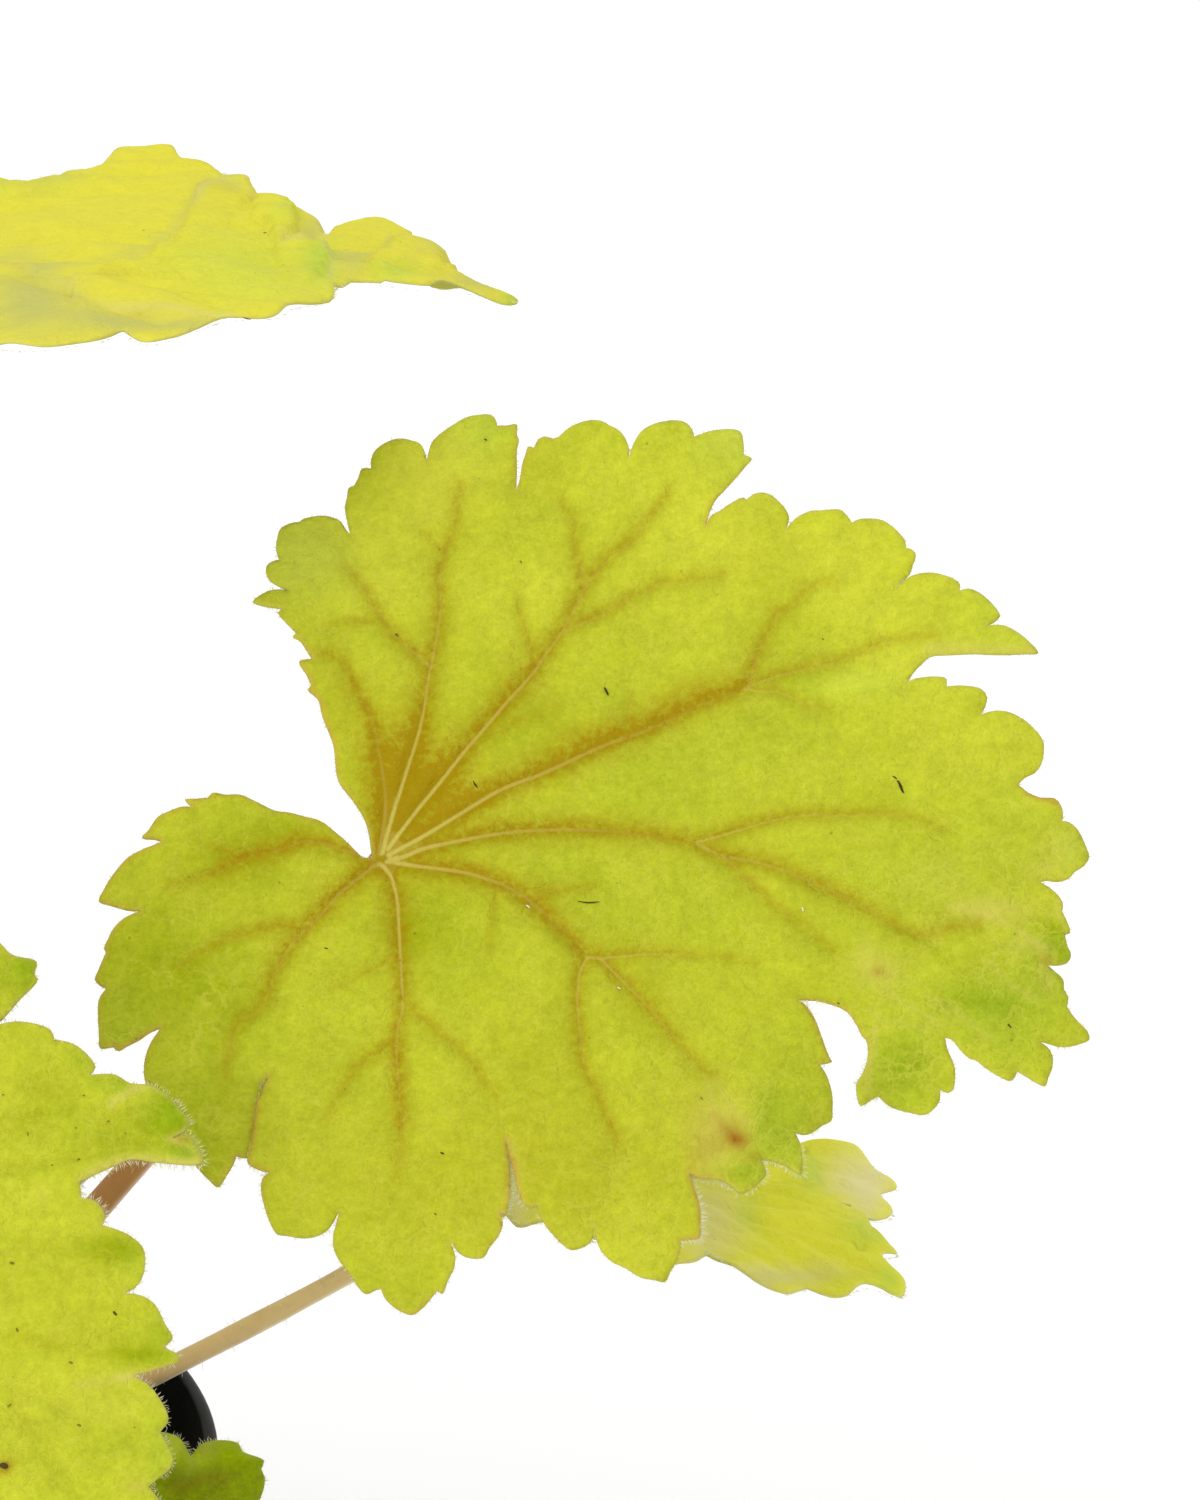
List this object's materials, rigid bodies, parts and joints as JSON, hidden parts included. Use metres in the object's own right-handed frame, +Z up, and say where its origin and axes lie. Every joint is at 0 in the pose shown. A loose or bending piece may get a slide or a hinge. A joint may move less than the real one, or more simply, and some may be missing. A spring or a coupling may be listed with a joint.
{
  "type": "potted heuchera plant",
  "caption": "Leafy perennial with lobed, toothed lime-yellow leaves on long stalks, growing from soil in a round black nursery pot.",
  "frame": {"origin": "centre of the pot's underside, where it stands", "axes": "+Z up; the view of the picture looks along +Y, and the large leaf lies towards +X"},
  "size_m": [0.2797, 0.2416, 0.2371],
  "materials": {
    "pot": "black recycled plastic, slightly satin",
    "soil": "dark crumbly peat",
    "crown": "brown scaly rootstock",
    "leaf_lime": "lime-yellow leaf with brown-red veins, finely hairy",
    "leaf_green": "older darker green leaf"
  },
  "bodies": {
    "root": {"pot": "pot", "soil": "soil", "crown": "crown", "leaf_01": "leaf_lime", "leaf_02": "leaf_lime", "leaf_03": "leaf_lime", "leaf_04": "leaf_lime", "leaf_05": "leaf_green", "leaf_06": "leaf_lime", "leaf_07": "leaf_lime", "leaf_08": "leaf_lime", "leaf_09": "leaf_lime", "leaf_10": "leaf_lime", "leaf_11": "leaf_lime", "leaf_12": "leaf_lime", "leaf_13": "leaf_lime", "leaf_14": "leaf_lime", "leaf_15": "leaf_lime", "leaf_16": "leaf_lime", "leaf_17": "leaf_lime"}
  },
  "joints": []
}
